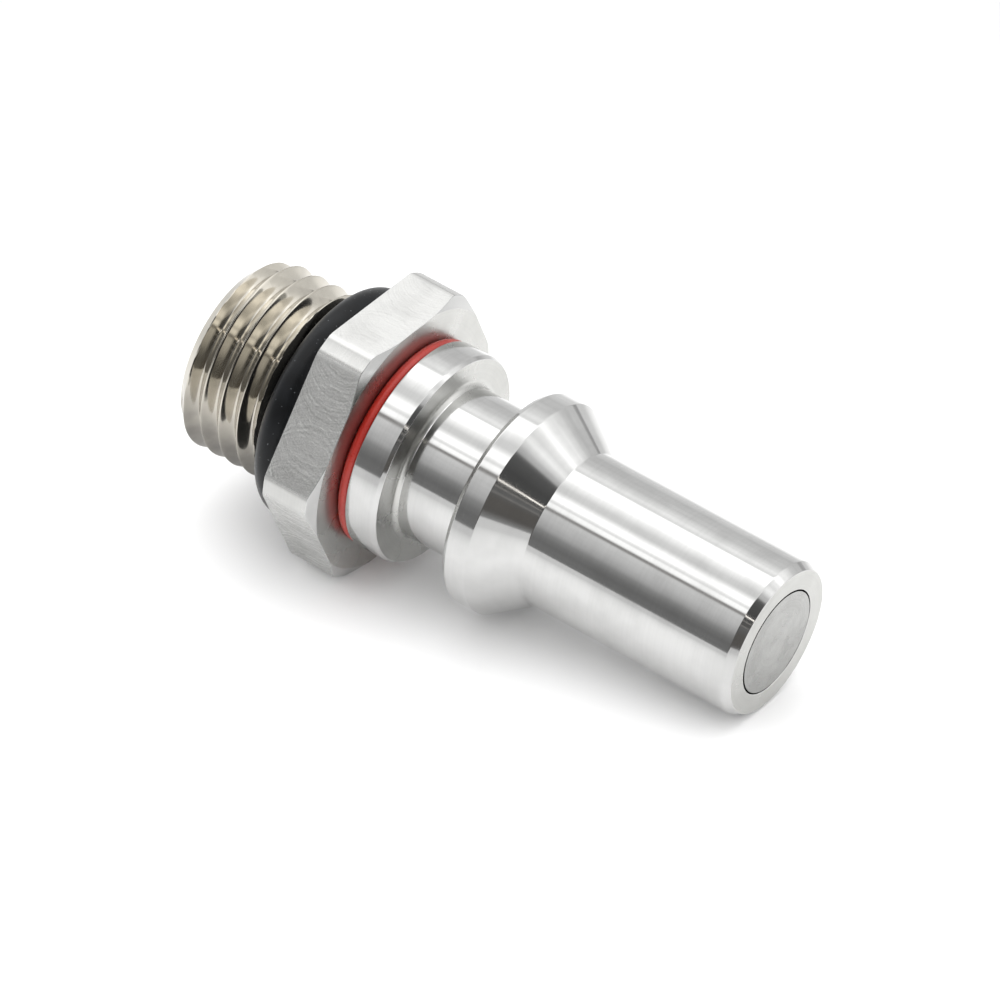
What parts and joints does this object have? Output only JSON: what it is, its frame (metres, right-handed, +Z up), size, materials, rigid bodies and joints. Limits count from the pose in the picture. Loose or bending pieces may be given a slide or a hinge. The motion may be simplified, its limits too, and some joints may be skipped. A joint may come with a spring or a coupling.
{
  "type": "quick disconnect plug",
  "caption": "Male half of a flush-face hydraulic quick coupling: plain nose, locking rim and groove, hexagon, sealed port thread and a sprung valve inside.",
  "frame": {"origin": "middle of the bounding box, on the surface that the plug lies on", "axes": "+Z up, the nose towards +X, the plug's axis in the plane Y = 0 and tipped nose down by its rest angle"},
  "size_m": [0.0458, 0.021, 0.0193],
  "materials": {
    "turned_stainless": "finely turned and polished",
    "milled_stainless": "milled flats, turned thread",
    "valve_stainless": "turned face",
    "red_rubber": "smooth red rubber",
    "black_rubber": "smooth black rubber",
    "white_gasket": "plain white",
    "spring_wire": "drawn wire",
    "guide_brass": "turned",
    "spring_steel": "stamped and phosphated"
  },
  "bodies": {
    "body": {"plug_body": "turned_stainless", "end_adapter": "milled_stainless", "marker_ring": "red_rubber", "port_seal": "black_rubber", "joint_gasket": "white_gasket", "valve_spring": "spring_wire", "valve_guide": "guide_brass", "retaining_ring": "spring_steel"},
    "valve": {"valve": "valve_stainless", "valve_seal": "black_rubber"}
  },
  "joints": [
    {"name": "valve_slide", "type": "slide", "parent": "body", "child": "valve", "axis": [-0.9919, 0, 0.1273], "range_m": [0, 0.005], "stiffness_N_per_m": 1500, "springref_m": -0.003, "deforming": ["valve_spring"]}
  ]
}
